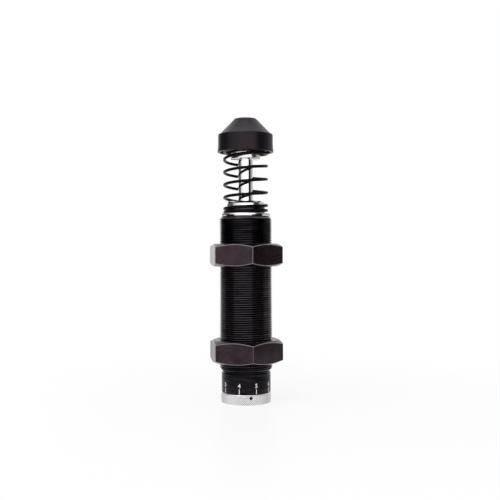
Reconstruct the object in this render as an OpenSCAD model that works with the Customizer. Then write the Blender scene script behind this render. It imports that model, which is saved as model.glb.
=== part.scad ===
// Adjustable industrial shock absorber with a threaded body, a return spring and a bumper cap.
// The axis is +Z. The origin is the centre of the adjuster knob's lower face.

/* [Adjuster knob] */
// Diameter of the knob
knob_d = 34; // [30:0.5:34.3]
// Height of the knob
knob_h = 7.4; // [6.5:0.1:12]
// Depth of the recess in the knob's lower face
knob_recess = 1.4; // [0.8:0.1:2]
// Width of the rim round that recess
knob_rim = 5; // [3:0.5:7]
// Chamfer on the knob's edges
knob_chamfer = 0.5; // [0.2:0.1:1]
// Gap between the knob and the body tube
knob_gap = 0.2; // [0.1:0.05:0.5]
// Diameter of the set screw
set_screw_d = 2.4; // [2:0.1:3]
// Length of the set screw
set_screw_l = 6; // [4:0.5:9]
// Direction of the set screw, counted from the front towards the right
set_screw_turn = 11.4; // [-180:0.1:180]
// Height of the set screw's axis above the knob's recess
set_screw_lift = 3.9; // [2.5:0.1:4.3]

/* [Body tube] */
// Major diameter of the mounting thread
thread_d = 36; // [35:0.5:40]
// Length of the threaded part, with its chamfers
thread_l = 105.1; // [103:0.1:140]
// Chamfer at each end of the thread
thread_chamfer = 2; // [1:0.1:2.4]
// Diameter of the plain scale section
scale_d = 33.5; // [32:0.1:34]
// Height of the plain scale section
scale_h = 13.6; // [9:0.2:20]
// Chamfer on the upper edge of the scale section
scale_chamfer = 0.6; // [0.2:0.1:1]
// Width of the undercut between the scale section and the thread
undercut_w = 0.5; // [0.3:0.1:2]
// Depth of that undercut below the thread's chamfer
undercut_depth = 0.1; // [0.05:0.05:0.5]
// Thickness of the tube's wall
tube_wall = 3; // [2.6:0.1:3.2]
// Thickness of the tube's closed end
end_wall = 17; // [12:0.5:18]

/* [Adjuster] */
// Diameter of the adjuster spindle
spindle_d = 8; // [6:0.5:9]
// Diameter of the spindle's collar
collar_d = 16; // [13:0.5:20]
// Thickness of the spindle's collar
collar_h = 2; // [1.5:0.1:3]
// Width across the flats of the spindle's square drive
drive_w = 5; // [4:0.1:5.4]
// Thickness of the thrust washers
thrust_h = 1; // [0.6:0.1:1.5]
// Thickness of the metering sleeve's floor
sleeve_floor = 3; // [2:0.1:4]
// Thickness of the metering sleeve's wall
sleeve_wall = 1.8; // [1.4:0.1:2.2]
// Depth of the metering grooves inside the sleeve
groove_depth = 0.9; // [0.5:0.1:1.2]
// Height of a metering groove at the first setting
groove_low = 0.6; // [0.4:0.1:1]
// Height of a metering groove at the last setting
groove_high = 2; // [1.2:0.1:2.2]
// Number of settings above zero
settings = 8; // [4:1:8]
// Angle between two settings
setting_angle = 40; // [30:1:40]
// Direction of the scale's zero, counted from the front towards the right
scale_zero = -175.8; // [-180:0.1:-140]

/* [Pressure tube] */
// Diameter of the pressure tube's bore
piston_bore = 19; // [18:0.1:19.4]
// Thickness of the pressure tube's wall
pressure_wall = 1.8; // [1.4:0.1:2]
// Radius of the orifices in the pressure tube
orifice_r = 1; // [0.6:0.05:1.2]
// Number of orifices along the stroke
orifices = 6; // [4:1:6]
// Radius of the return ports near the pressure tube's upper end
return_port_r = 1.2; // [0.8:0.1:1.4]
// Number of return ports
return_ports = 4; // [2:1:6]
// Thickness of the plug's flange
plug_flange = 2; // [1.5:0.1:3]
// Length of the plug's spigot in the pressure tube
plug_spigot = 2.6; // [2:0.1:3]

/* [Bearing block] */
// Length of the block's spigot in the pressure tube
block_spigot = 4; // [2:0.5:5]
// Thickness of the block's flange
block_flange = 4; // [3:0.5:6]
// Length of the accumulator chamber
chamber_l = 24; // [20:0.5:26]
// Thickness of the block's sleeve round the bush
block_wall = 1.5; // [1.2:0.1:2]
// Number of oil ports through the block's flange
oil_ports = 6; // [3:1:8]
// Radius of an oil port
oil_port_r = 1.2; // [0.8:0.1:1.4]
// Length of the rod's bush
bush_l = 24; // [16:0.5:26]
// Thickness of the bush's wall
bush_wall = 2; // [1.5:0.1:2.4]
// Gap between the foam and the walls of its chamber
foam_gap = 0.15; // [0.05:0.05:0.3]

/* [Gland] */
// Length of the gland's spigot in the body tube
gland_spigot = 14.8; // [13:0.2:20]
// Diameter of the gland's flange
gland_flange_d = 33.9; // [33:0.1:34.8]
// Thickness of the gland's flange
gland_flange_h = 1.8; // [1.5:0.1:3]
// Diameter of the neck inside the spring
neck_d = 26.3; // [24:0.1:27]
// Height of the neck
neck_h = 8.3; // [6:0.1:9]
// Chamfer on the neck's upper edge
neck_chamfer = 1.4; // [0.5:0.1:2]
// Diameter of the seal pocket
seal_d = 18; // [16:0.2:19]
// Thickness of the seal's backing washer
seal_washer_h = 1.5; // [1:0.1:2]
// Height of the rod seal
seal_h = 6.4; // [5:0.1:8]
// Diameter of the wiper's pocket
wiper_d = 16.4; // [15:0.1:17]
// Height of the wiper
wiper_h = 3.4; // [2.5:0.1:4.5]
// Section diameter of the O-rings
o_ring_d = 1.78; // [1.5:0.01:2]
// Distance from the gland's flange to the O-ring groove
o_ring_drop = 9; // [4:0.5:10]

/* [Piston rod] */
// Diameter of the rod
rod_d = 10; // [9:0.1:10.4]
// Working stroke
stroke = 25; // [15:0.5:26]
// Gap left between the hub and the neck at full stroke
bump_gap = 3.8; // [2:0.1:5]
// Diameter of the rod's lower thread
tail_d = 7; // [6:0.1:7.6]
// Height of the piston
piston_h = 10; // [8:0.2:12]
// Gap between the piston and the bearing block at rest
stop_gap = 0.1; // [0.05:0.05:0.3]
// Height of the piston ring
piston_ring_h = 3; // [2:0.1:4]
// Radial thickness of the piston ring
piston_ring_t = 1.2; // [0.8:0.1:1.6]
// Number of flow holes in the piston
flow_holes = 6; // [4:1:8]
// Radius of a flow hole
flow_hole_r = 0.9; // [0.6:0.05:1.1]
// Thickness of the check ring
check_ring_h = 1; // [0.8:0.1:1.4]
// Distance that the check ring lifts
check_lift = 0.6; // [0.3:0.1:0.8]
// Height of the piston nut's hexagon
piston_nut_h = 5; // [4:0.1:6]
// Width across the flats of the piston nut
piston_nut_af = 13; // [11:0.1:14]

/* [Return spring] */
// Diameter of the spring wire
wire_d = 2; // [1.6:0.05:2.2]
// Gap between the neck and the spring
spring_gap = 0.3; // [0.2:0.05:0.6]
// Turns of the spring that lie closed on the gland
closed_turns_low = 1.24; // [1:0.02:2]
// Turns of the spring that lie closed under the cap
closed_turns_high = 1.1; // [1:0.02:2]
// Turns of the spring that work
working_turns = 4.4; // [3:0.02:5]
// Direction of the wire's lower end, counted from +X
wire_start = 146; // [0:1:360]
// Distance that the lower open turns lean down on their low side
spring_lean = 1.7; // [0.1:0.1:2.4]
// Direction of the low side, counted from +X
lean_turn = -12; // [-180:1:180]
// Distance that the last open turn rises at the front and drops at the back
top_tilt = 0.9; // [0:0.1:1.2]

/* [Cap] */
// Diameter of the hub under the cap
hub_d = 20.5; // [16:0.1:21]
// Distance that the hub reaches below the spring's upper seat
hub_drop = 7.8; // [6:0.1:10]
// Diameter of the spring's upper seat
seat_d = 33; // [31:0.1:33.4]
// Thickness of the spring's upper seat
seat_h = 2; // [1.5:0.1:3]
// Diameter of the core's boss inside the cap
boss_d = 18; // [14:0.1:20]
// Height of the core's boss
boss_h = 8; // [6:0.1:9]
// Depth of the groove that holds the cap on the boss
boss_groove = 1; // [0.5:0.1:1.5]
// Diameter of the rod's upper thread
stub_d = 8; // [6:0.1:8.6]
// Length of the rod's upper thread
stub_l = 13; // [10:0.5:14]
// Depth of the counterbore that takes the full rod
rod_socket = 2.3; // [1.5:0.1:4]
// Diameter of the cap's side
cap_d = 37.5; // [36.8:0.1:38.2]
// Diameter of the cap's rim
rim_d = 38.4; // [38.2:0.1:40]
// Diameter of the recess under the cap
cap_recess_d = 34.4; // [34:0.1:35]
// Distance that the cap's skirt reaches below the spring's upper seat
skirt_drop = 3.1; // [2:0.1:5]
// Height of the flare at the cap's rim
flare_h = 6.3; // [4:0.1:8]
// Height of the cap from its rim to its shoulder
shoulder_h = 12.4; // [11:0.1:16]
// Width of the cap's shoulder
shoulder_w = 1.15; // [0.8:0.05:2]
// Height of the cap's cone
cone_h = 10.6; // [9:0.1:14]
// Diameter of the cap's striking face
face_d = 15; // [12:0.1:20]
// Rounding of the cap's edges
cap_round = 0.8; // [0.4:0.1:1]

/* [Nuts] */
// Width across the flats of the mounting nuts
nut_af = 46; // [44:0.5:50]
// Height of a mounting nut
nut_h = 15.4; // [10:0.2:18]
// Height of the lower nut above the knob's lower face
lower_nut_z = 27.5; // [26.5:0.1:40]
// Height of the upper nut above the knob's lower face
upper_nut_z = 92.7; // [80:0.1:96]
// Diameter at which a nut's chamfer starts
nut_face_d = 43.2; // [42:0.1:43.5]
// Angle of a nut's chamfer
nut_chamfer_angle = 24; // [20:1:30]
// Countersink at a nut's thread
nut_sink = 0.9; // [0.4:0.1:1.5]
// Direction of a nut's front corner, counted from the front towards the right
nut_turn = 10.4; // [-30:0.1:30]

/* [Fits] */
// Radial clearance of pieces that run in each other
run_fit = 0.05; // [0.02:0.01:0.1]
// Radial clearance of pieces that stay seated in each other
seat_fit = 0.05; // [0.02:0.01:0.1]

/* [Hidden] */
$fn = 96;
eps = 0.01;         // overlap of cutting shapes
cut = 1;            // distance that a cutting shape runs past a face

// Radii
thread_r = thread_d / 2;
scale_r = scale_d / 2;
bore_r = thread_r - tube_wall;
rod_r = rod_d / 2;
neck_r = neck_d / 2;
bush_r = rod_r + run_fit + bush_wall;
block_r = bush_r + seat_fit + block_wall;
pressure_bore_r = piston_bore / 2;
pressure_r = pressure_bore_r + pressure_wall;
sleeve_bore_r = pressure_r + run_fit;
sleeve_r = sleeve_bore_r + sleeve_wall;
spindle_r = spindle_d / 2;
oil_port_circle = (pressure_r + bore_r) / 2;
o_ring_r = o_ring_d / 2;
wire_r = wire_d / 2;
coil_r = neck_r + spring_gap + wire_r;

// Heights from the knob upwards
body_z = knob_h + knob_gap;
undercut_z = body_z + scale_h;
thread_z = undercut_z + undercut_w;
thread_top = thread_z + thread_l;
floor_z = body_z + end_wall;
collar_z = floor_z + thrust_h;
sleeve_z = collar_z + collar_h;
plug_washer_z = sleeve_z + sleeve_floor;
plug_z = plug_washer_z + thrust_h;
pressure_z = plug_z + plug_flange;
block_top = thread_top - gland_spigot;
pressure_top = block_top - chamber_l - block_flange;
flange_top = thread_top + gland_flange_h;
neck_top = flange_top + neck_h;

// Heights on the moving rod, at rest
piston_top = pressure_top - block_spigot - stop_gap;
piston_z = piston_top - piston_h;
nut_collar_h = check_ring_h + check_lift;
piston_nut_z = piston_z - nut_collar_h - piston_nut_h;
hub_z = neck_top + stroke + bump_gap;
seat_z = hub_z + hub_drop;
rod_top = hub_z + rod_socket;
rim_z = seat_z - skirt_drop;
shoulder_z = rim_z + shoulder_h;
face_z = shoulder_z + cone_h;

// ---- Shared shapes ----

// A ring or a disc from z0 to z1.
module ring(inner, outer, z0, z1) {
    translate([0, 0, z0])
        difference() {
            cylinder(r = outer, h = z1 - z0);
            if (inner > 0)
                translate([0, 0, -cut]) cylinder(r = inner, h = z1 - z0 + 2 * cut);
        }
}

// A cutting cylinder from z0 to z1.
module bore(radius, z0, z1) {
    translate([0, 0, z0]) cylinder(r = radius, h = z1 - z0);
}

// A solid of revolution with a chamfer at each end.
module chamfered(radius, z0, z1, low, high) {
    rotate_extrude()
        polygon([
            [0, z0], [radius - low, z0], [radius, z0 + low],
            [radius, z1 - high], [radius - high, z1], [0, z1]
        ]);
}

// Points of a rounded corner with its centre at c, from angle a to angle b.
function arc(c, radius, a, b, steps = 6) =
    [for (i = [0:steps]) c + radius * [cos(a + (b - a) * i / steps), sin(a + (b - a) * i / steps)]];

module o_ring(inner, z) {
    rotate_extrude() translate([inner + o_ring_r, z]) circle(r = o_ring_r, $fn = 32);
}

// ---- Body tube and what is fixed in it ----

o_ring_groove_h = 1.4 * o_ring_d;
gland_groove_r = bore_r - o_ring_d - 2 * seat_fit;
spindle_groove_r = spindle_r + run_fit - o_ring_d - 2 * seat_fit;
spindle_groove_z = body_z + end_wall / 2;
gland_groove_z = thread_top - o_ring_drop;

module outer_tube() {
    chamfer_r = thread_r - thread_chamfer;
    undercut_r = chamfer_r - undercut_depth;
    lower_edge = 0.2;
    color([0.13, 0.12, 0.13])
        difference() {
            rotate_extrude()
                polygon([
                    [0, body_z], [scale_r - lower_edge, body_z], [scale_r, body_z + lower_edge],
                    [scale_r, undercut_z - scale_chamfer], [scale_r - scale_chamfer, undercut_z],
                    [undercut_r, undercut_z], [undercut_r, thread_z], [chamfer_r, thread_z],
                    [thread_r, thread_z + thread_chamfer],
                    [thread_r, thread_top - thread_chamfer], [chamfer_r, thread_top], [0, thread_top]
                ]);
            bore(bore_r, floor_z, thread_top + cut);
            bore(spindle_r + run_fit, body_z - cut, floor_z + cut);
        }
}

module gland() {
    spigot_r = bore_r - seat_fit;
    pocket_top = block_top + seal_washer_h + seal_h + seat_fit;
    color([0.82, 0.82, 0.83])
        difference() {
            union() {
                ring(0, spigot_r, block_top, thread_top + eps);
                chamfered(gland_flange_d / 2, thread_top, flange_top, 0.2, 0.3);
                chamfered(neck_r, flange_top - eps, neck_top, 0, neck_chamfer);
            }
            bore(rod_r + run_fit, block_top - cut, neck_top + cut);
            bore(seal_d / 2 + seat_fit, block_top - cut, pocket_top);
            bore(wiper_d / 2 + seat_fit, neck_top - wiper_h, neck_top + cut);
            translate([0, 0, gland_groove_z - o_ring_groove_h / 2])
                ring(gland_groove_r, thread_r, 0, o_ring_groove_h);
        }
}

module gland_o_ring() {
    color([0.08, 0.08, 0.08]) o_ring(gland_groove_r + seat_fit, gland_groove_z);
}

module rod_wiper() {
    lip = 1.2;
    color([0.2, 0.3, 0.55])
        rotate_extrude()
            polygon([
                [rod_r + run_fit, neck_top - wiper_h / 2], [rod_r + lip, neck_top - wiper_h],
                [wiper_d / 2, neck_top - wiper_h], [wiper_d / 2, neck_top - lip],
                [rod_r + lip, neck_top - lip], [rod_r + run_fit + lip / 4, neck_top],
                [rod_r + run_fit, neck_top]
            ]);
}

module rod_seal() {
    lip_depth = 2.2;
    lip_w = 1.1;
    seal_z = block_top + seal_washer_h;
    seal_r = seal_d / 2;
    color([0.1, 0.1, 0.1])
        rotate_extrude()
            polygon([
                [rod_r + run_fit, seal_z], [rod_r + run_fit + lip_w, seal_z],
                [(rod_r + seal_r) / 2, seal_z + lip_depth], [seal_r - lip_w, seal_z],
                [seal_r, seal_z], [seal_r, seal_z + seal_h], [rod_r + run_fit, seal_z + seal_h]
            ]);
}

module seal_washer() {
    color([0.6, 0.6, 0.62])
        ring(rod_r + 3 * run_fit, seal_d / 2, block_top, block_top + seal_washer_h);
}

module bearing_block() {
    flange_z = pressure_top;
    color([0.55, 0.55, 0.57])
        difference() {
            union() {
                ring(0, pressure_bore_r - seat_fit, flange_z - block_spigot, flange_z + eps);
                ring(0, bore_r - seat_fit, flange_z, flange_z + block_flange);
                ring(0, block_r, flange_z + block_flange - eps, block_top);
            }
            bore(rod_r + 3 * run_fit, flange_z - block_spigot - cut, block_top + cut);
            bore(bush_r + seat_fit, block_top - bush_l, block_top + cut);
            for (i = [0:oil_ports - 1])
                rotate([0, 0, 360 * i / oil_ports])
                    translate([oil_port_circle, 0, 0])
                        bore(oil_port_r, flange_z - cut, flange_z + block_flange + cut);
        }
}

module rod_bush() {
    color([0.72, 0.5, 0.25])
        ring(rod_r + run_fit, bush_r, block_top - bush_l, block_top);
}

module accumulator_foam() {
    chamber_z = pressure_top + block_flange;
    color([0.3, 0.3, 0.32])
        ring(block_r + foam_gap, bore_r - foam_gap, chamber_z, block_top - foam_gap);
}

// Height of an orifice: the rows close up towards the end of the stroke.
orifice_high = piston_z - 2 * orifice_r;
orifice_low = piston_z - stroke + 2 * orifice_r;
function orifice_z(i) =
    orifice_low + (orifice_high - orifice_low) * pow(1 - i / (orifices - 1), 1.3);

module pressure_tube() {
    color([0.66, 0.66, 0.68])
        difference() {
            ring(pressure_bore_r, pressure_r, pressure_z, pressure_top);
            for (i = [0:orifices - 1])
                translate([0, 0, orifice_z(i)])
                    rotate([90, 0, 0]) bore(orifice_r, 0, pressure_r + cut);
            for (i = [0:return_ports - 1])
                rotate([0, 0, 360 * i / return_ports])
                    translate([0, 0, piston_top - 2 * return_port_r])
                        rotate([90, 0, 0]) bore(return_port_r, 0, pressure_r + cut);
        }
}

module tube_plug() {
    color([0.6, 0.6, 0.62]) {
        union() {
            ring(0, pressure_r - seat_fit, plug_z, pressure_z);
            ring(0, pressure_bore_r - seat_fit, pressure_z - eps, pressure_z + plug_spigot);
        }
    }
}

module lower_thrust_washer() {
    color([0.75, 0.65, 0.35])
        ring(spindle_r + run_fit, collar_d / 2, floor_z, floor_z + thrust_h);
}

module upper_thrust_washer() {
    color([0.75, 0.65, 0.35])
        ring(drive_w, pressure_r - seat_fit, plug_washer_z, plug_washer_z + thrust_h);
}

// ---- Return spring ----

spring_z = flange_top + wire_r + seat_fit;
spring_rise = seat_z - seat_fit - wire_r - spring_z;
spring_turns = closed_turns_low + working_turns + closed_turns_high;
closed_pitch = wire_d + seat_fit;
open_pitch = closed_pitch + (spring_rise - closed_pitch * spring_turns) / working_turns;
blend_turns = 0.7;  // turns over which the pitch opens or closes

// Integral of a smooth step of width blend_turns round the turn a.
function step_sum(t, a) =
    let (x = (t - a) / blend_turns + 0.5)
        x <= 0 ? 0 : x >= 1 ? t - a : blend_turns * (pow(x, 3) - pow(x, 4) / 2);
// Rise that the open turns add above the closed ones.
function opening(t, a) = (open_pitch - closed_pitch) * step_sum(t, a);

// The lower open turns lean to one side. The lean grows no faster than the turns open, and fades out by lean_end.
lean_end = closed_turns_low + 2 * working_turns / 3;
function lean(t) =
    spring_lean * (1 - exp(-opening(t, closed_turns_low) / spring_lean))
        * min(1, max(0, (lean_end - t) / (lean_end - closed_turns_low)));

// The last open turn tilts where it runs up against the closed turn at the top.
open_end = closed_turns_low + working_turns;
function ease(x) = let (u = min(1, max(0, x))) u * u * (3 - 2 * u);
function tilt(t) = top_tilt * ease(2 * (t - open_end + 1)) * ease(2 * (open_end + 0.25 - t));
function wire_z(t) =
    let (turn = wire_start + 360 * t)
        spring_z + closed_pitch * t + opening(t, closed_turns_low) - opening(t, open_end)
            - lean(t) * (1 + cos(turn - lean_turn)) / 2 - tilt(t) * sin(turn);

module return_spring() {
    sides = 10;
    rings = ceil(spring_turns * 24);
    points = [
        for (i = [0:rings], k = [0:sides - 1])
            let (
                t = spring_turns * i / rings,
                turn = wire_start + 360 * t,
                a = 360 * k / sides,
                radius = coil_r + wire_r * cos(a)
            )
            [radius * cos(turn), radius * sin(turn), wire_z(t) + wire_r * sin(a)]
    ];
    walls = [
        for (i = [0:rings - 1], k = [0:sides - 1])
            let (next = (k + 1) % sides)
            [i * sides + k, i * sides + next, (i + 1) * sides + next, (i + 1) * sides + k]
    ];
    ends = [
        [for (k = [0:sides - 1]) sides - 1 - k],
        [for (k = [0:sides - 1]) rings * sides + k]
    ];
    color([0.12, 0.12, 0.13]) polyhedron(points, concat(walls, ends));
}

// ---- Adjuster ----

spindle_z = knob_recess + 0.4;
set_screw_z = knob_recess + set_screw_lift;

module toward_screw() {
    rotate([0, 0, set_screw_turn - 90])
        translate([0, 0, set_screw_z])
            rotate([0, 90, 0]) children();
}

module adjuster_knob() {
    knob_r = knob_d / 2;
    color([0.85, 0.85, 0.86])
        difference() {
            chamfered(knob_r, 0, knob_h, knob_chamfer, knob_chamfer);
            bore(knob_r - knob_rim, -cut, knob_recess);
            bore(spindle_r + seat_fit, -cut, knob_h + cut);
            toward_screw() bore(set_screw_d / 2 + seat_fit, 0, knob_r + cut);
        }
}

module knob_set_screw() {
    socket_depth = 2;
    socket_af = set_screw_d / 2;
    color([0.1, 0.1, 0.1])
        toward_screw()
            difference() {
                bore(set_screw_d / 2, spindle_r + seat_fit, spindle_r + seat_fit + set_screw_l);
                translate([0, 0, spindle_r + seat_fit + set_screw_l - socket_depth])
                    cylinder(r = socket_af / sqrt(3), h = socket_depth + cut, $fn = 6);
            }
}

module adjuster_spindle() {
    drive_top = plug_washer_z - 0.2;
    color([0.62, 0.62, 0.64])
        difference() {
            union() {
                chamfered(spindle_r, spindle_z, collar_z + eps, 0.4, 0);
                ring(0, collar_d / 2, collar_z, sleeve_z);
                translate([-drive_w / 2, -drive_w / 2, sleeve_z - eps])
                    cube([drive_w, drive_w, drive_top - sleeve_z + eps]);
            }
            translate([0, 0, spindle_groove_z - o_ring_groove_h / 2])
                ring(spindle_groove_r, spindle_r + cut, 0, o_ring_groove_h);
        }
}

module spindle_o_ring() {
    color([0.08, 0.08, 0.08]) o_ring(spindle_groove_r + seat_fit, spindle_groove_z);
}

// Turn of the sleeve's wall that faces the orifices at setting s, seen with the adjuster at rest.
function setting_turn(s) = set_screw_turn - scale_zero - s * setting_angle;

// One step of a metering groove: the steps get higher and deeper with the setting, and each
// reaches a little way into the one before it.
module metering_groove(s, z) {
    share = (s - 1) / (settings - 1);
    height = groove_low + (groove_high - groove_low) * share;
    depth = groove_depth * (0.3 + 0.7 * share);
    inner = sleeve_bore_r - cut - eps * s;
    lap = 2;
    rotate([0, 0, setting_turn(s + 0.5) - 90])
        rotate_extrude(angle = setting_angle + lap)
            translate([inner, z - height / 2]) square([sleeve_bore_r + depth - inner, height]);
}

module metering_sleeve() {
    sleeve_top = piston_top - 4 * return_port_r;
    socket_w = drive_w + 2 * seat_fit;
    color([0.7, 0.7, 0.72])
        difference() {
            ring(0, sleeve_r, sleeve_z, sleeve_top);
            bore(sleeve_bore_r, plug_washer_z, sleeve_top + cut);
            translate([-socket_w / 2, -socket_w / 2, sleeve_z - cut])
                cube([socket_w, socket_w, sleeve_floor + 2 * cut]);
            for (i = [0:orifices - 1]) {
                for (s = [1:settings]) metering_groove(s, orifice_z(i));
                rotate([0, 0, setting_turn(settings)])
                    translate([0, 0, orifice_z(i)])
                        rotate([90, 0, 0]) bore(0.4 * groove_high, sleeve_bore_r - cut, sleeve_r + cut);
            }
        }
}

// ---- Piston rod and what moves with it ----

module piston_rod() {
    color([0.85, 0.86, 0.88])
        union() {
            chamfered(tail_d / 2, piston_nut_z - 0.5, piston_top + eps, 0.5, 0);
            ring(0, rod_r, piston_top, rod_top);
            chamfered(stub_d / 2, rod_top - eps, rod_top + stub_l, 0, 0.6);
        }
}

module piston() {
    groove_r = pressure_bore_r - run_fit - piston_ring_t;
    ring_z = piston_z + (piston_h - piston_ring_h) / 2;
    hole_circle = (tail_d / 2 + groove_r) / 2 + 0.2;
    color([0.5, 0.5, 0.52])
        difference() {
            ring(tail_d / 2 + seat_fit, pressure_bore_r - 2 * run_fit, piston_z, piston_top);
            translate([0, 0, ring_z]) ring(groove_r, pressure_bore_r + cut, 0, piston_ring_h);
            for (i = [0:flow_holes - 1])
                rotate([0, 0, 360 * i / flow_holes])
                    translate([hole_circle, 0, 0])
                        bore(flow_hole_r, piston_z - cut, piston_top + cut);
        }
}

module piston_ring() {
    ring_z = piston_z + (piston_h - piston_ring_h) / 2;
    color([0.35, 0.3, 0.2])
        ring(pressure_bore_r - piston_ring_t, pressure_bore_r - run_fit,
             ring_z + seat_fit, ring_z + piston_ring_h - seat_fit);
}

module check_ring() {
    ring_r = pressure_bore_r - 1.5;
    collar_r = tail_d / 2 + 1.2;
    color([0.7, 0.7, 0.7])
        ring(collar_r + run_fit, ring_r, piston_z - check_ring_h - seat_fit, piston_z - seat_fit);
}

module piston_nut() {
    collar_r = tail_d / 2 + 1.2;
    color([0.45, 0.45, 0.47])
        difference() {
            union() {
                ring(0, collar_r, piston_z - nut_collar_h - eps, piston_z);
                translate([0, 0, piston_nut_z])
                    cylinder(r = piston_nut_af / sqrt(3), h = piston_nut_h, $fn = 6);
            }
            bore(tail_d / 2 + seat_fit, piston_nut_z - cut, piston_z + cut);
        }
}

boss_groove_z = seat_z + seat_h + boss_h / 2;
boss_groove_h = boss_h / 4;

module cap_core() {
    boss_top = seat_z + seat_h + boss_h;
    color([0.8, 0.8, 0.81])
        difference() {
            union() {
                chamfered(hub_d / 2, hub_z, seat_z + eps, 0.4, 0);
                chamfered(seat_d / 2, seat_z, seat_z + seat_h, 0.3, 0);
                ring(0, boss_d / 2, seat_z + seat_h - eps, boss_top);
            }
            bore(rod_r + seat_fit, hub_z - cut, rod_top);
            bore(stub_d / 2 + seat_fit, hub_z - cut, rod_top + stub_l + 0.5);
            translate([0, 0, boss_groove_z - boss_groove_h / 2])
                ring(boss_d / 2 - boss_groove, hub_d, 0, boss_groove_h);
        }
}

module bumper_cap() {
    cap_r = cap_d / 2;
    rim_r = rim_d / 2;
    face_r = face_d / 2;
    cone_r = cap_r - shoulder_w;
    cone_slope = atan2(cone_h, cone_r - face_r);
    cone_foot = [cone_r, shoulder_z];
    round_reach = cap_round * tan((90 - (90 - cone_slope)) / 2);
    inner_boss_r = boss_d / 2 + seat_fit;
    color([0.2, 0.19, 0.2])
        difference() {
            rotate_extrude()
                polygon(concat(
                    [[0, rim_z]],
                    arc([rim_r - 0.4, rim_z + 0.4], 0.4, -90, 10, 4),
                    [for (i = [1:6])
                        let (x = i / 6)
                            [rim_r - (rim_r - cap_r) * (1 - pow(1 - x, 2)), rim_z + 0.5 + (flare_h - 0.5) * x]],
                    arc([cap_r - cap_round, shoulder_z - cap_round], cap_round, 0, 90),
                    [cone_foot],
                    arc([face_r - round_reach, face_z - cap_round], cap_round, 90 - cone_slope, 90),
                    [[0, face_z]]
                ));
            bore(cap_recess_d / 2, rim_z - cut, seat_z - 0.2);
            bore(seat_d / 2 + seat_fit, rim_z - cut, seat_z + seat_h + eps);
            difference() {
                bore(inner_boss_r, seat_z, seat_z + seat_h + boss_h + seat_fit);
                translate([0, 0, boss_groove_z - boss_groove_h / 2 + seat_fit])
                    ring(boss_d / 2 - boss_groove + seat_fit, hub_d, 0, boss_groove_h - 2 * seat_fit);
            }
        }
}

// ---- Mounting nuts ----

module mounting_nut(z) {
    corner_r = nut_af / sqrt(3);
    face_r = nut_face_d / 2;
    bore_fit_r = thread_r + run_fit;
    chamfer_h = (corner_r + eps - face_r) * tan(nut_chamfer_angle);
    color([0.22, 0.19, 0.2])
        translate([0, 0, z])
            difference() {
                intersection() {
                    rotate([0, 0, nut_turn - 90]) cylinder(r = corner_r, h = nut_h, $fn = 6);
                    rotate_extrude()
                        polygon([
                            [0, 0], [face_r, 0], [corner_r + eps, chamfer_h],
                            [corner_r + eps, nut_h - chamfer_h], [face_r, nut_h], [0, nut_h]
                        ]);
                }
                bore(bore_fit_r, -cut, nut_h + cut);
                for (side = [0, 1])
                    translate([0, 0, side * nut_h])
                        mirror([0, 0, side])
                            translate([0, 0, -eps])
                                cylinder(r1 = bore_fit_r + nut_sink + eps, r2 = bore_fit_r, h = nut_sink + eps);
            }
}

module upper_nut() { mounting_nut(upper_nut_z); }
module lower_nut() { mounting_nut(lower_nut_z); }

outer_tube();
gland();
gland_o_ring();
rod_wiper();
rod_seal();
seal_washer();
bearing_block();
rod_bush();
accumulator_foam();
pressure_tube();
tube_plug();
lower_thrust_washer();
upper_thrust_washer();
return_spring();
adjuster_knob();
knob_set_screw();
adjuster_spindle();
spindle_o_ring();
metering_sleeve();
piston_rod();
piston();
piston_ring();
check_ring();
piston_nut();
cap_core();
bumper_cap();
upper_nut();
lower_nut();
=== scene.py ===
"""Looks of the adjustable shock absorber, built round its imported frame.

Shapes are worked out in millimetres, on the part's own axis (+Z up the rod, -Y the front), and are
turned into metres when a mesh is made.
"""

import math

import bmesh
import bpy
import numpy as np
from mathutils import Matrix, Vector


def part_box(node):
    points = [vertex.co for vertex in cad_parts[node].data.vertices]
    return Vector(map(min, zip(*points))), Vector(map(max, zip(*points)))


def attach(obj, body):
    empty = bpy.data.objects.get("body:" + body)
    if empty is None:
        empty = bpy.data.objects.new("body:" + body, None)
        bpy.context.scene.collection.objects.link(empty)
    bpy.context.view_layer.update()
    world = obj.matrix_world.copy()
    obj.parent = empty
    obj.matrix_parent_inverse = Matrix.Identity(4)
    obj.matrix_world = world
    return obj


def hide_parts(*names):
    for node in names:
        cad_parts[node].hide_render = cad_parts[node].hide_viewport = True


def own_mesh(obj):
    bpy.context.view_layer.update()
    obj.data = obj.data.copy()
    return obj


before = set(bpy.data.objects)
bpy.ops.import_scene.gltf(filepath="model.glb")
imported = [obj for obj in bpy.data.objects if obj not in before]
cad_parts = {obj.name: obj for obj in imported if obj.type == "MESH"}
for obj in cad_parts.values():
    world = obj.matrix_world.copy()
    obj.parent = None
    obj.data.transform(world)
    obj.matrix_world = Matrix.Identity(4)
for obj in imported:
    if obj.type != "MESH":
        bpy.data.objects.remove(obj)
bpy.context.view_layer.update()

MM = 0.001
TURN = 2 * math.pi


# ---------------------------------------------------------------- places read from the frame


def span(node):
    """Lowest and highest point of a CAD node along the axis, in millimetres."""
    low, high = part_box(node)
    return low.z / MM, high.z / MM


def radius(node):
    """Largest radius of a round CAD node, in millimetres."""
    low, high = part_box(node)
    return (high.y - low.y) / 2 / MM


BODY_Z, BODY_TOP = span("outer_tube")
THREAD_R = radius("outer_tube")
GLAND_Z, NECK_TOP = span("gland")
SPRING_LOW, SPRING_HIGH = span("return_spring")
SPRING_R = radius("return_spring")
ROD_R = radius("piston_rod")
KNOB_R = radius("adjuster_knob")
KNOB_H = span("adjuster_knob")[1]
CORE_Z, CORE_TOP = span("cap_core")
RIM_Z, FACE_Z = span("bumper_cap")
RIM_R = radius("bumper_cap")
ROD_LOW, ROD_HIGH = span("piston_rod")

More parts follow.
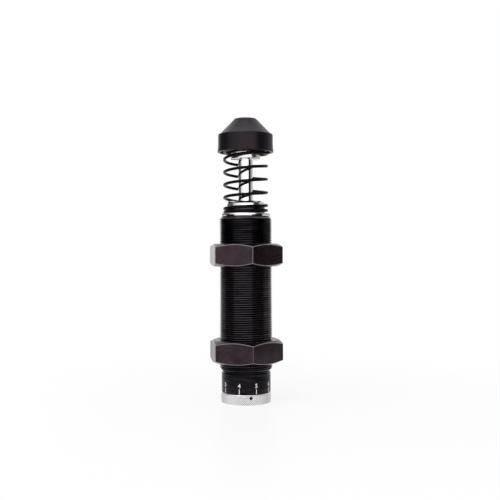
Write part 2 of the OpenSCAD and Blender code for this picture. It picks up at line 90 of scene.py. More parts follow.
# Sizes inside those boxes, in millimetres.
SCALE_R = 16.75
SCALE_H = 13.6
SCALE_CHAMFER = 0.6
UNDERCUT = 0.5
THREAD_CHAMFER = 2.0
THREAD_PITCH = 1.5
THREAD_DEPTH = 0.92
BORE_R = 15.0
END_WALL = 17.0
FLANGE_R = 16.95
FLANGE_H = 1.8
NECK_R = 13.15
NECK_CHAMFER = 1.4
WIRE_R = 1.0
TAIL_R = 3.5
TAIL_TOP = 79.9
STUB_R = 4.0
STUB_H = 13.0
SPINDLE_R = 4.0
SEAL_R = 9.0
SEAL_POCKET_H = 7.95
WIPER_R = 8.2
WIPER_H = 3.4
SEAT_Z = RIM_Z + 3.1
SEAT_TOP = SEAT_Z + 2.0
SEAT_R = 16.5
BOSS_R = 9.0
GROOVE_R = 8.0
GROOVE_Z = (SEAT_TOP + 3.0, SEAT_TOP + 5.0)
FIT = 0.05


# ---------------------------------------------------------------- mesh building


def add_object(name, data):
    """Puts an object with this data into the scene."""
    obj = bpy.data.objects.new(name, data)
    bpy.context.scene.collection.objects.link(obj)
    return obj


def finish_mesh(name, bm, material, body, replaced=(), sharp=30):
    """Turns a bmesh in millimetres into a piece that rides on a body."""
    bmesh.ops.scale(bm, vec=(MM, MM, MM), verts=bm.verts)
    bmesh.ops.recalc_face_normals(bm, faces=bm.faces)
    mesh = bpy.data.meshes.new(name)
    bm.to_mesh(mesh)
    bm.free()
    mesh.polygons.foreach_set("use_smooth", [True] * len(mesh.polygons))
    mesh.set_sharp_from_angle(angle=math.radians(sharp))
    mesh.materials.append(material)
    obj = add_object(name, mesh)
    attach(obj, body)
    if replaced:
        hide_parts(*replaced)
    return obj


def grid_mesh(bm, rows, wear=None, closed=True, shift=0):
    """Adds a grid of points that closes round the axis. rows is (row, column, xyz).

    The values of wear and of painted light and shade come one for each row or one for each point. closed
    joins the last row to the first. shift is the number of rows that the seam climbs, as on a screw.
    """
    count, columns = rows.shape[:2]
    layer = bm.verts.layers.float.get("wear") or bm.verts.layers.float.new("wear")
    worn_and_painted_light = np.zeros(count) if wear is None else np.asarray(wear, float)
    if worn_and_painted_light.ndim == 1:
        worn_and_painted_light = np.repeat(worn_and_painted_light[:, None], columns, axis=1)
    verts = []
    for i in range(count):
        for j in range(columns):
            v = bm.verts.new(rows[i, j])
            v[layer] = worn_and_painted_light[i, j]
            verts.append(v)
    steps = count if closed else count - 1
    for i in range(steps):
        above = (i + 1) % count
        for j in range(columns):
            if j < columns - 1:
                corners = [(i, j), (i, j + 1), (above, j + 1), (above, j)]
            elif above + shift < count:
                corners = [(i, j), (i + shift, 0), (above + shift, 0), (above, j)]
            else:
                continue
            bm.faces.new([verts[r * columns + c] for r, c in corners])
    return verts


def weld(bm, distance=1e-4):
    """Merges points that fell together and drops the faces that vanished with them."""
    bmesh.ops.remove_doubles(bm, verts=bm.verts, dist=distance)
    bmesh.ops.dissolve_degenerate(bm, dist=distance / 2, edges=bm.edges)


def ring_rows(profile, columns):
    """Rows of a lathe-turned grid from (radius, height) points."""
    angles = np.arange(columns) * TURN / columns
    profile = np.asarray(profile, float)
    x = profile[:, 0, None] * np.cos(angles)
    y = profile[:, 0, None] * np.sin(angles)
    z = np.repeat(profile[:, 1, None], columns, axis=1)
    return np.stack([x, y, z], axis=-1)


def lathe(name, profile, material, body, replaced=(), columns=192, wear=None, sharp=30):
    """A closed turned solid. The outline closes on itself, or starts and ends on the axis."""
    hollow = profile[0][0] > 0
    bm = bmesh.new()
    grid_mesh(bm, ring_rows(profile, columns), wear, closed=hollow)
    weld(bm)
    return finish_mesh(name, bm, material, body, replaced, sharp)


def arc(centre, r, start, end, steps=6):
    """Points of a rounded corner, with angles in degrees."""
    angles = np.radians(np.linspace(start, end, steps + 1))
    return [(centre[0] + r * math.cos(a), centre[1] + r * math.sin(a)) for a in angles]


# ---------------------------------------------------------------- materials

# The range in which most of a noise texture lies.
NOISE_LOW, NOISE_HIGH = 0.3, 0.7


class Tree:
    """A node tree with short ways to add and join nodes."""

    def __init__(self, tree):
        """Wraps a node tree of Blender's."""
        self.tree = tree

    def add(self, kind, **settings):
        """A new node. Each setting is a socket's constant, with _ for a space, or else a property."""
        node = self.tree.nodes.new(kind)
        for key, value in settings.items():
            socket = key.replace("_", " ")
            if socket in node.inputs:
                node.inputs[socket].default_value = value
            else:
                setattr(node, key, value)
        return node

    def join(self, output, target):
        """Links an output to an input."""
        self.tree.links.new(output, target)

    def compute(self, operation, *values):
        """The result of a math node, whose values may be outputs or plain numbers."""
        node = self.add("ShaderNodeMath", operation=operation)
        for socket, value in zip(node.inputs, values):
            if isinstance(value, bpy.types.NodeSocket):
                self.join(value, socket)
            else:
                socket.default_value = value
        return node.outputs[0]

    def ramp(self, value, *stops, interpolation="LINEAR"):
        """A colour ramp with (position, colour) stops."""
        ramp = self.add("ShaderNodeValToRGB")
        ramp.color_ramp.interpolation = interpolation
        elements = ramp.color_ramp.elements
        while len(elements) < len(stops):
            elements.new(0.5)
        for element, (position, colour) in zip(elements, stops):
            element.position = position
            element.color = (*colour, 1.0)
        self.join(value, ramp.inputs["Fac"])
        return ramp.outputs["Color"]

    def remap(self, value, low, high, to_low=0.0, to_high=1.0, curve="LINEAR"):
        """Maps low-high to to_low-to_high, and holds it there beyond both ends."""
        node = self.add(
            "ShaderNodeMapRange", interpolation_type=curve,
            From_Min=low, From_Max=high, To_Min=to_low, To_Max=to_high)
        self.join(value, node.inputs["Value"])
        return node.outputs["Result"]

    def mix(self, share, a, b):
        """Colour a to colour b by share. Each may be an output or a plain colour."""
        node = self.add("ShaderNodeMix", data_type="RGBA")
        for socket, value in ((node.inputs[0], share), (node.inputs[6], a), (node.inputs[7], b)):
            if isinstance(value, bpy.types.NodeSocket):
                self.join(value, socket)
            else:
                socket.default_value = (*value, 1.0)
        return node.outputs[2]

    def mix_shader(self, share, a, b):
        """Shader a to shader b by share."""
        node = self.add("ShaderNodeMixShader")
        for socket, value in zip(node.inputs, (share, a, b)):
            self.join(value, socket)
        return node.outputs[0]

    def rays(self):
        """Two shares: what the camera sees directly, and what shows in metal or through glass."""
        path = self.add("ShaderNodeLightPath").outputs
        mirrored = self.compute("MAXIMUM", path["Is Glossy Ray"], path["Is Transmission Ray"])
        return path["Is Camera Ray"], mirrored


class Material(Tree):
    """A material round one Principled shader, with ways to add the part's usual textures."""

    def __init__(self, name):
        """A new material of this name."""
        self.material = bpy.data.materials.new(name)
        self.material.use_nodes = True
        super().__init__(self.material.node_tree)
        self.shader = self.tree.nodes["Principled BSDF"]
        self.place = self.add("ShaderNodeTexCoord").outputs["Object"]

    def set(self, **values):
        """Constant values straight on the shader's sockets, with _ for a space."""
        for key, value in values.items():
            self.shader.inputs[key.replace("_", " ")].default_value = value

    def feed(self, **outputs):
        """Links outputs to the shader's sockets, with _ for a space."""
        for key, output in outputs.items():
            self.join(output, self.shader.inputs[key.replace("_", " ")])

    def noise(self, scale, stretch=(1, 1, 1), detail=4.0, rough=0.55):
        """Noise in the part's own space, at scale cells a metre, stretched along x, y and z."""
        mapping = self.add("ShaderNodeMapping", Scale=stretch)
        self.join(self.place, mapping.inputs["Vector"])
        noise = self.add("ShaderNodeTexNoise", Scale=scale, Detail=detail, Roughness=rough)
        self.join(mapping.outputs["Vector"], noise.inputs["Vector"])
        return noise.outputs["Fac"]

    def level(self, value, low, high):
        """Maps the usual range of noise to low-high."""
        return self.remap(value, NOISE_LOW, NOISE_HIGH, low, high)

    def bump(self, height, strength, distance):
        """Fine relief in the shader's normal."""
        node = self.add("ShaderNodeBump", Strength=strength, Distance=distance)
        self.join(height, node.inputs["Height"])
        self.feed(Normal=node.outputs["Normal"])

    def wear(self):
        """The share of wear and of painted light and shade on the mesh's own points."""
        return self.add("ShaderNodeAttribute", attribute_name="wear").outputs["Fac"]


# How fine marks stretch along x, y and z: round the axis on turned pieces, and evenly elsewhere.
RINGS = (0.02, 0.02, 4.0)
ROUND = (1.0, 1.0, 1.0)


def black_steel(name, dark, light, worn_and_painted_light, rough, shine, tint, grain, cloud=300, patchy=0.4, streak=ROUND):
    """Blackened steel: mottled near-black with fine turning marks.

    Where the mesh's painted value is 0 it is dull, which in a thread's root is painted shade. At 0.5 it
    has its full shine, and above that it turns greyer: wear, and on the nuts painted highlights too. The
    oxide film gives its shine a tint, and breaks it up a little.
    """
    m = Material(name)
    mottle = m.noise(scale=180, detail=6.0, rough=0.6)
    colour = m.ramp(mottle, (NOISE_LOW, dark), (NOISE_HIGH, light))
    wear = m.wear()
    film = m.level(m.noise(cloud, stretch=streak, detail=3.0), 1 - patchy, 1 + patchy)
    fine = m.noise(scale=900, stretch=grain, detail=3.0)
    m.feed(
        Base_Color=m.mix(m.remap(wear, 0.5, 1.0), colour, worn_and_painted_light),
        Specular_IOR_Level=m.compute("MULTIPLY", m.remap(wear, 0.0, 0.5, 0.1 * shine, shine), film),
        Roughness=m.level(fine, rough - 0.06, rough + 0.06))
    m.bump(fine, strength=0.12, distance=0.00003)
    m.set(Metallic=0.0, Specular_Tint=(*tint, 1.0))
    return m.material


def nut_steel(name, shine):
    """The two nuts' finish: the same blackening, a little duller on one than on the other."""
    # The lighter colour shows as painted highlights on the nut's rings and edges, and as wear.
    return black_steel(
        name, dark=(0.002, 0.0015, 0.002), light=(0.005, 0.0035, 0.004), worn_and_painted_light=(0.30, 0.26, 0.28),
        rough=0.24, shine=shine, tint=(1.0, 0.69, 0.84), grain=ROUND, cloud=90)


def bright_metal(name, dark, light, rough, grain, bump=0.1, scale=900, worn_and_painted_light=None):
    """Turned or ground bright metal with fine marks along the cut.

    The optional colour at the end is painted shade, shown where the mesh's painted value is high: in a
    knurl's valleys and at the foot of the gland's neck.
    """
    m = Material(name)
    cloud = m.noise(scale=120, detail=5.0)
    colour = m.ramp(cloud, (NOISE_LOW, dark), (NOISE_HIGH, light))
    # Painted shade where the mesh's painted value is high.
    if worn_and_painted_light:
        colour = m.mix(m.remap(m.wear(), 0.55, 1.0), colour, worn_and_painted_light)
    marks = m.noise(scale, stretch=grain, detail=3.0)
    m.feed(Base_Color=colour, Roughness=m.level(marks, rough * 0.75, rough * 1.25))
    m.bump(marks, strength=bump, distance=0.00002)
    m.set(Metallic=1.0)
    return m.material


def moulded(name, dark, light, rough, bump, scale, shine=0.5, tint=(1.0, 1.0, 1.0)):
    """Moulded polymer or rubber: even colour with a fine leathery grain."""
    m = Material(name)
    cloud = m.noise(scale=90, detail=5.0)
    grain = m.noise(scale, detail=4.0, rough=0.6)
    m.feed(
        Base_Color=m.ramp(cloud, (NOISE_LOW, dark), (NOISE_HIGH, light)),
        Roughness=m.level(grain, rough - 0.06, rough + 0.06))
    m.bump(grain, strength=bump, distance=0.00005)
    m.set(Metallic=0.0, Specular_IOR_Level=shine, Specular_Tint=(*tint, 1.0))
    return m.material


def marking_paint():
    """White printed marks, a little uneven where the ink is thin."""
    m = Material("white_marking")
    speckle = m.noise(scale=2500, detail=4.0, rough=0.7)
    m.feed(
        Base_Color=m.ramp(speckle, (0.25, (0.6, 0.6, 0.58)), (0.5, (0.86, 0.86, 0.84))),
        Roughness=m.level(speckle, 0.5, 0.7))
    return m.material


body_steel = black_steel(
    "body_steel", dark=(0.0008, 0.0006, 0.0010), light=(0.003, 0.0025, 0.003), worn_and_painted_light=(0.09, 0.068, 0.075),
    rough=0.19, shine=0.76, tint=(0.93, 0.84, 1.0), grain=RINGS, cloud=600, patchy=0.9,
    streak=(0.1, 0.1, 1.0))
upper_nut_steel = nut_steel("upper_nut_steel", shine=0.52)
lower_nut_steel = nut_steel("lower_nut_steel", shine=0.42)
spring_steel = black_steel(
    "spring_steel", dark=(0.001, 0.001, 0.0012), light=(0.003, 0.003, 0.0035), worn_and_painted_light=(0.01, 0.01, 0.01),
    rough=0.3, shine=0.8, tint=(0.97, 0.95, 1.0), grain=ROUND)
screw_steel = black_steel(
    "screw_steel", dark=(0.003, 0.003, 0.003), light=(0.006, 0.006, 0.006), worn_and_painted_light=(0.01, 0.01, 0.01),
    rough=0.4, shine=0.8, tint=(1.0, 1.0, 1.0), grain=ROUND)
# The knob's darker colour is painted shade in the knurl's valleys.
knob_metal = bright_metal(
    "knob_metal", dark=(0.99, 0.97, 0.98), light=(1.0, 0.985, 0.99), rough=0.46, grain=ROUND,
    worn_and_painted_light=(0.45, 0.43, 0.45))
# Its dark colour is painted shade at the foot of the neck.
gland_metal = bright_metal(
    "gland_metal", dark=(0.88, 0.84, 0.85), light=(0.95, 0.91, 0.92), rough=0.14, grain=RINGS,
    worn_and_painted_light=(0.05, 0.045, 0.05))
core_metal = bright_metal(
    "core_metal", dark=(0.80, 0.72, 0.74), light=(0.88, 0.80, 0.82), rough=0.12, grain=RINGS)
rod_metal = bright_metal(
    "rod_metal", dark=(0.90, 0.90, 0.91), light=(0.95, 0.95, 0.96), rough=0.05, grain=RINGS, bump=0.02)
inner_metal = bright_metal(
    "inner_metal", dark=(0.5, 0.5, 0.51), light=(0.62, 0.62, 0.63), rough=0.28, grain=RINGS)
bush_metal = bright_metal(
    "bush_metal", dark=(0.52, 0.36, 0.18), light=(0.66, 0.47, 0.25), rough=0.3, grain=RINGS)
cap_polymer = moulded(
    "cap_polymer", dark=(0.002, 0.0015, 0.002), light=(0.005, 0.0038, 0.005), rough=0.32, bump=0.15,
    scale=1400, shine=0.3, tint=(0.97, 0.74, 1.0))
seal_rubber = moulded(
    "seal_rubber", dark=(0.006, 0.006, 0.006), light=(0.012, 0.012, 0.012), rough=0.6, bump=0.2,
    scale=1800)
wiper_polymer = moulded(
    "wiper_polymer", dark=(0.008, 0.008, 0.009), light=(0.016, 0.016, 0.017), rough=0.45, bump=0.1,
    scale=1800)
foam = moulded(
    "foam", dark=(0.05, 0.05, 0.055), light=(0.09, 0.09, 0.095), rough=0.85, bump=0.6, scale=2600)
card_black = moulded(
    "card_black", dark=(0.001, 0.001, 0.001), light=(0.002, 0.002, 0.002), rough=0.9, bump=0.1,
    scale=500, shine=0.1)
white_paint = marking_paint()


# ---------------------------------------------------------------- pieces of the housing


def thread_rows(columns, z0, z1):
    """Grid of the helical thread between z0 and z1, with a chamfer at each end and each row's value of
    wear and painted shade.

    The crests shine most where the nuts are run, the roots are dulled as painted shade, and the upper
    chamfer is rubbed.
    """
    crest, flank = 0.18, 0.3     # shares of the pitch
    fresh, run_over, rubbed, fade = 0.33, 0.65, 0.55, 0.3
    run_low, run_high = span("lower_nut")[0], span("upper_nut")[1]
    # One turn of the profile: share of the pitch, and share of the depth.
    marks = [
        (0.0, 0.0), (crest, 0.0), (crest + flank / 2, 0.5), (crest + flank, 1.0),
        ((1 + crest) / 2, 1.0), (1 - flank, 1.0), (1 - flank / 2, 0.5),
    ]
    turns = math.ceil((z1 - z0) / THREAD_PITCH) + 2
    climb = np.arange(columns) / columns
    angles = climb * TURN
    rows, wear = [], []
    for k in range(-1, turns):
        for phase, depth in marks:
            z = np.clip(z0 + THREAD_PITCH * (k + phase + climb), z0, z1)
            envelope = THREAD_R - THREAD_CHAMFER + np.minimum(z - z0, z1 - z)
            r = np.minimum(THREAD_R - THREAD_DEPTH * depth, envelope)
            rows.append(np.stack([r * np.cos(angles), r * np.sin(angles), z], axis=-1))
            top_chamfer = np.clip((z - z1 + THREAD_CHAMFER) / fade, 0, 1) * rubbed
            crest_wear = np.where((z > run_low) & (z < run_high), run_over, fresh)
            # Crests keep their wear and the roots fall to 0, which paints shade into the thread's hollow.
            wear.append(np.maximum(crest_wear * (1 - depth) ** 2, top_chamfer))
    return np.array(rows), np.array(wear), len(marks)


def threaded_body():
    """The body: scale section, undercut, one continuous thread, and the bore down to its closed end."""
    columns = 160
    scale_top = BODY_Z + SCALE_H
    thread_z = scale_top + UNDERCUT
    end_r = THREAD_R - THREAD_CHAMFER
    undercut_r = end_r - 0.1
    spindle_r = SPINDLE_R + FIT
    floor_z = BODY_Z + END_WALL
    edge = 0.2
    # corner gives the scale's top chamfer full shine against the dull scale: a painted highlight line.
    rubbed, corner, bore, plain = 0.55, 0.5, 0.1, 0.06
    bm = bmesh.new()
    rows, wear, per_turn = thread_rows(columns, thread_z, BODY_TOP)
    grid_mesh(bm, rows, wear, closed=False, shift=per_turn)
    # Radius, height and value of wear and painted light, from the upper end through the bore to the
    # thread's lower end.
    outline = [
        (end_r, BODY_TOP, rubbed), (BORE_R, BODY_TOP, rubbed), (BORE_R, floor_z, bore),
        (spindle_r, floor_z, bore), (spindle_r, BODY_Z, bore), (SCALE_R - edge, BODY_Z, plain),
        (SCALE_R, BODY_Z + edge, plain), (SCALE_R, scale_top - SCALE_CHAMFER, plain),
        (SCALE_R - SCALE_CHAMFER, scale_top, corner), (undercut_r, scale_top, bore),
        (undercut_r, thread_z, bore), (end_r, thread_z, 2 * bore),
    ]
    profile = [(r, z) for r, z, _ in outline]
    grid_mesh(bm, ring_rows(profile, columns), [w for _, _, w in outline], closed=False)
    weld(bm)
    return finish_mesh("threaded_body", bm, body_steel, "housing", ["outer_tube"], sharp=25)


def gland_piece():
    """Turned gland: spigot with an O-ring groove in the body, flange on top of it, and the rod's neck.

    The foot of the neck, behind the spring's closed turns, is darkened with painted shade.
    """
    rod_bore, seal_bore, wiper_bore = ROD_R + FIT, SEAL_R + FIT, WIPER_R + FIT
    seal_top, wiper_z = GLAND_Z + SEAL_POCKET_H, NECK_TOP - WIPER_H
    spigot_r = BORE_R - FIT
    neck_z = BODY_TOP + FLANGE_H
    chamfer_z = NECK_TOP - NECK_CHAMFER
    ring_low, ring_high = span("gland_o_ring")
    ring_d = ring_high - ring_low
    groove_r = BORE_R - ring_d - 2 * FIT
    groove_room = 0.2 * ring_d
    groove_low, groove_high = ring_low - groove_room, ring_high + groove_room
    low_round, top_round, edge = 0.2, 0.3, 0.1
    # Below this height the neck is darkened with painted shade between the spring's closed turns.
    shade_top, shade_fade = neck_z + 4.6, 0.6
    outline = [
        (seal_bore, GLAND_Z), (spigot_r, GLAND_Z), (spigot_r, groove_low), (groove_r, groove_low),
        (groove_r, groove_high), (spigot_r, groove_high), (spigot_r, BODY_TOP),
        (FLANGE_R - low_round, BODY_TOP),
        *arc((FLANGE_R - low_round, BODY_TOP + low_round), low_round, -90, 0, 3),
        *arc((FLANGE_R - top_round, neck_z - top_round), top_round, 0, 90, 4),
        (NECK_R, neck_z), (NECK_R, shade_top - shade_fade), (NECK_R, shade_top), (NECK_R, chamfer_z - edge),
        (NECK_R - edge, chamfer_z + edge / 2), (NECK_R - NECK_CHAMFER, NECK_TOP),
        (wiper_bore, NECK_TOP), (wiper_bore, wiper_z), (rod_bore, wiper_z),
        (rod_bore, seal_top), (seal_bore, seal_top),
    ]
    # 1 marks the painted shade at the foot of the neck.
    neck_shade = [1.0 if r == NECK_R and z < shade_top else 0.0 for r, z in outline]
    return lathe("turned_gland", outline, gland_metal, "housing", ["gland"], wear=neck_shade)


def spring_piece():
    """The return spring: closed turns at both ends, smooth pitch between, ground flat at the seats.

    Its lower open turns lean to one side, and the last one is tilted.
    """
    sides, per_turn = 16, 72
    low_turns, open_turns, high_turns, blend, tilt_turns = 1.24, 4.4, 1.1, 0.7, 0.25
    start, lean_turn, lean_mm, tilt_mm = math.radians(146), math.radians(-12), 1.7, 0.9
    lean_end = low_turns + 2 * open_turns / 3
    open_end = low_turns + open_turns
    turns = open_end + high_turns
    closed_pitch = 2 * WIRE_R + FIT
    base = SPRING_LOW + WIRE_R
    rise = SPRING_HIGH - SPRING_LOW - 2 * WIRE_R
    open_pitch = closed_pitch + (rise - closed_pitch * turns) / open_turns
    coil_r = SPRING_R - WIRE_R

    def opening(t, a):
        """Extra rise by turn t once the pitch has opened at turn a, over a smooth blend."""
        x = np.clip((t - a) / blend + 0.5, 0, 1)
        return (open_pitch - closed_pitch) * np.where(x < 1, blend * (x**3 - x**4 / 2), t - a)

    def ease(x):
        """A smooth step from 0 to 1."""
        u = np.clip(x, 0, 1)
        return u * u * (3 - 2 * u)

    t = np.linspace(0, turns, math.ceil(turns * per_turn) + 1)
    turn = start + TURN * t
    z = base + closed_pitch * t + opening(t, low_turns) - opening(t, open_end)
    lean = lean_mm * (1 - np.exp(-opening(t, low_turns) / lean_mm))
    lean *= np.clip((lean_end - t) / (lean_end - low_turns), 0, 1)
    z -= lean * (1 + np.cos(turn - lean_turn)) / 2
    tilted = ease(2 * (t - open_end + 1)) * ease(2 * (open_end + tilt_turns - t))
    z -= tilt_mm * tilted * np.sin(turn)
    around = np.arange(sides) * TURN / sides
    reach = coil_r + WIRE_R * np.cos(around)
    height = z[:, None] + WIRE_R * np.sin(around)
    ground_h, ground_turns = 0.45 * WIRE_R, 0.75
    low_share = np.clip(1 - t / ground_turns, 0, 1)
    high_share = np.clip(1 - (turns - t) / ground_turns, 0, 1)
    ground = ground_h * (low_share - high_share)
    height = np.clip(height - ground[:, None], SPRING_LOW, SPRING_HIGH)
    rows = np.stack([reach * np.cos(turn)[:, None], reach * np.sin(turn)[:, None], height], axis=-1)
    bm = bmesh.new()
    verts = grid_mesh(bm, rows, closed=False)
    for end, order in ((0, -1), (len(t) - 1, 1)):
        bm.faces.new(verts[end * sides:(end + 1) * sides][::order])
    replaced = ["return_spring"]
    return finish_mesh("coil_spring", bm, spring_steel, "housing", replaced, sharp=50)


def wiper_piece():
    """The rod wiper in its pocket: a ring with one lip that stands up against the rod."""
    edge, collar_z, valley_r, valley_w, foot = 0.3, NECK_TOP - 0.9, 6.4, 0.5, 2.0
    low, top = NECK_TOP - WIPER_H, NECK_TOP
    rod_r = ROD_R + FIT
    outline = [
        (WIPER_R, low), (WIPER_R, collar_z), (WIPER_R - edge, collar_z + edge),
        (valley_r + valley_w, collar_z), (valley_r, collar_z - edge),
        (ROD_R + 2 * edge, top - 0.1), (ROD_R + edge, top), (rod_r, top - edge),
        (rod_r, low + WIPER_H / 2), (WIPER_R - foot, low),
    ]
    return lathe("wiper_ring", outline, wiper_polymer, "housing", ["rod_wiper"])


# The printed scale. Directions are in degrees, from the front towards the right.
SCALE_ZERO = -175.8
MARK_STEP = 40.0
MARK_COUNT = 9
MARK_Z = BODY_Z + 0.25
MARK_H = 3.5
MARK_W = 0.5
DIGIT_GAP = 0.7
DIGIT_H = 2.8


def on_scale(across, height, lift):
    """A point of the scale section: across in millimetres along the surface from the front."""
    angle = across / SCALE_R - TURN / 4
    r = SCALE_R + lift
    return (r * math.cos(angle), r * math.sin(angle), height)


def mark_place(k):
    """How far mark k lies from the front, along the surface."""
    return math.radians(SCALE_ZERO + MARK_STEP * k) * SCALE_R


def scale_marks():
    """One raised white line for each setting."""
    sunk, proud = -0.05, 0.02
    bm = bmesh.new()
    for k in range(MARK_COUNT):
        centre = mark_place(k)
        edges = [centre - MARK_W / 2, centre, centre + MARK_W / 2]
        ring = []
        for lift in (sunk, proud):
            for z in (MARK_Z, MARK_Z + MARK_H):
                ring.append([bm.verts.new(on_scale(e, z, lift)) for e in edges])
        low_in, high_in, low_out, high_out = ring
        for i in range(2):
            bm.faces.new([low_out[i], low_out[i + 1], high_out[i + 1], high_out[i]])
            bm.faces.new([low_in[i], high_in[i], high_in[i + 1], low_in[i + 1]])
            bm.faces.new([low_in[i], low_in[i + 1], low_out[i + 1], low_out[i]])
            bm.faces.new([high_in[i], high_out[i], high_out[i + 1], high_in[i + 1]])
        bm.faces.new([low_in[0], low_out[0], high_out[0], high_in[0]])
        bm.faces.new([low_in[2], high_in[2], high_out[2], low_out[2]])
    return finish_mesh("scale_marks", bm, white_paint, "housing")


def scale_numbers():
    """Plain numbers 0 to 8 above the marks."""
    font_size, half_depth, bolder, sunk = 3.9, 0.035, 0.07, 0.01
    base = MARK_Z + MARK_H + DIGIT_GAP
    bm = bmesh.new()
    for k in range(MARK_COUNT):
        curve = bpy.data.curves.new("digit", "FONT")
        curve.body = str(k)
        curve.align_x = "CENTER"
        curve.size = font_size
        curve.extrude = half_depth
        curve.offset = bolder
        curve.resolution_u = 4
        text = add_object("digit", curve)
        bpy.context.view_layer.update()
        mesh = text.to_mesh()
        points = np.array([v.co for v in mesh.vertices])
        low = points[:, 1].min()
        points[:, 1] = (points[:, 1] - low) * DIGIT_H / (points[:, 1].max() - low)
        centre = mark_place(k)
        made = [bm.verts.new(on_scale(centre + x, base + y, z - sunk)) for x, y, z in points]
        for polygon in mesh.polygons:
            bm.faces.new([made[i] for i in polygon.vertices])
        text.to_mesh_clear()
        bpy.data.objects.remove(text)
        bpy.data.curves.remove(curve)
    weld(bm)
    return finish_mesh("scale_numbers", bm, white_paint, "housing")


# ---------------------------------------------------------------- pieces of the adjuster


# The index hole, with its direction in degrees from the front towards the right.
INDEX_R = 1.25
INDEX_DIRECTION = 11.4
INDEX_Z = 5.3

# The angle in degrees above which an edge of the knurl is sharp.
KNURL_SHARP = 18


def knurled_knob():
    """The setting knob: a fine diamond knurl between two chamfers, with its spindle bore and index hole.

    The knurl is a lattice of high and low points in turn, with row_h between its rows.
    """
    around, rows_high, row_h, depth = 81, 9, 0.6625, 0.3
    edge, edge_h, bevel = 0.55, 0.12, 0.15
    recess_r, recess_h, bore_r, bore_chamfer = 12.0, 1.4, SPINDLE_R + FIT, 0.3
    band_low = (KNOB_H - rows_high * row_h) / 2
    band_high = KNOB_H - band_low
    columns = 2 * around
    root, side_r = KNOB_R - depth, KNOB_R - edge
    angles = np.arange(columns) * TURN / columns
    bm = bmesh.new()
    layer = bm.verts.layers.float.new("wear")
    lattice = []
    for i in range(rows_high + 1):
        z = band_low + row_h * i
        row = []
        for j, a in enumerate(angles):
            high = (i + j) % 2
            r = KNOB_R if high else root
            v = bm.verts.new((r * math.cos(a), r * math.sin(a), z))
            # Valleys get the full painted value, which the knob's finish turns into painted shade.
            v[layer] = 1.0 - high
            row.append(v)
        lattice.append(row)
    for i in range(rows_high):
        for j in range(columns):
            k = (j + 1) % columns
            a, b, c, d = lattice[i][j], lattice[i][k], lattice[i + 1][k], lattice[i + 1][j]
            if (i + j) % 2:     # a and c are high, so the valley runs from b to d
                bm.faces.new([a, b, d])
                bm.faces.new([b, c, d])
            else:
                bm.faces.new([a, b, c])
                bm.faces.new([a, c, d])
    outline = [
        (root - 0.02, band_low - bevel), (side_r, edge_h), (side_r - bevel, 0.0), (recess_r + bevel, 0.0),
        (recess_r, bevel), (recess_r, recess_h), (bore_r + bore_chamfer, recess_h),
        (bore_r, recess_h + bore_chamfer), (bore_r, KNOB_H), (side_r - bevel, KNOB_H),
        (side_r, KNOB_H - edge_h), (root - 0.02, band_high + bevel),
    ]
    verts = grid_mesh(bm, ring_rows(outline, columns), closed=False)
    last = (len(outline) - 1) * columns
    for j in range(columns):
        k = (j + 1) % columns
        bm.faces.new([verts[j], verts[k], lattice[0][k], lattice[0][j]])
        bm.faces.new([lattice[-1][j], lattice[-1][k], verts[last + k], verts[last + j]])
    replaced = ["adjuster_knob"]
    knob = finish_mesh(
        "knurled_knob", bm, knob_metal, "adjuster", replaced, sharp=KNURL_SHARP)
    drill(knob, INDEX_R, INDEX_DIRECTION, INDEX_Z, inner=SPINDLE_R, outer=KNOB_R + 1)
    return knob


def drill(obj, r, direction, height, inner, outer):
    """Cuts a radial hole with a clean round mouth, and keeps the result as the piece's own mesh.

    direction is in degrees from the front towards the right. The hole runs from radius inner to outer.
    """
    cutter_mesh = bpy.data.meshes.new("cutter")
    bm = bmesh.new()
    bmesh.ops.create_cone(bm, cap_ends=True, segments=48, radius1=r, radius2=r, depth=outer - inner)
    bmesh.ops.scale(bm, vec=(MM, MM, MM), verts=bm.verts)
    bm.to_mesh(cutter_mesh)
    bm.free()
    cutter = add_object("cutter", cutter_mesh)
    angle = math.radians(direction - 90)
    middle = (inner + outer) / 2 * MM
    cutter.location = (middle * math.cos(angle), middle * math.sin(angle), height * MM)
    cutter.rotation_euler = (0, math.pi / 2, angle)
    cut = obj.modifiers.new("hole", "BOOLEAN")
    cut.operation = "DIFFERENCE"
    cut.solver = "EXACT"
    cut.object = cutter
    bpy.context.view_layer.update()
    evaluated = obj.evaluated_get(bpy.context.evaluated_depsgraph_get())
    mesh = bpy.data.meshes.new_from_object(evaluated)
    obj.modifiers.clear()
    obj.data = mesh
    mesh.set_sharp_from_angle(angle=math.radians(KNURL_SHARP))
    bpy.data.objects.remove(cutter)


# ---------------------------------------------------------------- pieces of the rod


def rod_piece():
    """Chromed rod with a slimmer tail inside the body and a stub inside the cap."""
    tail_edge, stub_edge = 0.5, 0.6
    stub_z = ROD_HIGH - STUB_H
    outline = [
        (0, ROD_LOW), (TAIL_R - tail_edge, ROD_LOW), (TAIL_R, ROD_LOW + tail_edge), (TAIL_R, TAIL_TOP),
        (ROD_R, TAIL_TOP), (ROD_R, stub_z), (STUB_R, stub_z), (STUB_R, ROD_HIGH - stub_edge),
        (STUB_R - stub_edge, ROD_HIGH), (0, ROD_HIGH),
    ]
    return lathe("chromed_rod", outline, rod_metal, "rod", ["piston_rod"], columns=96)


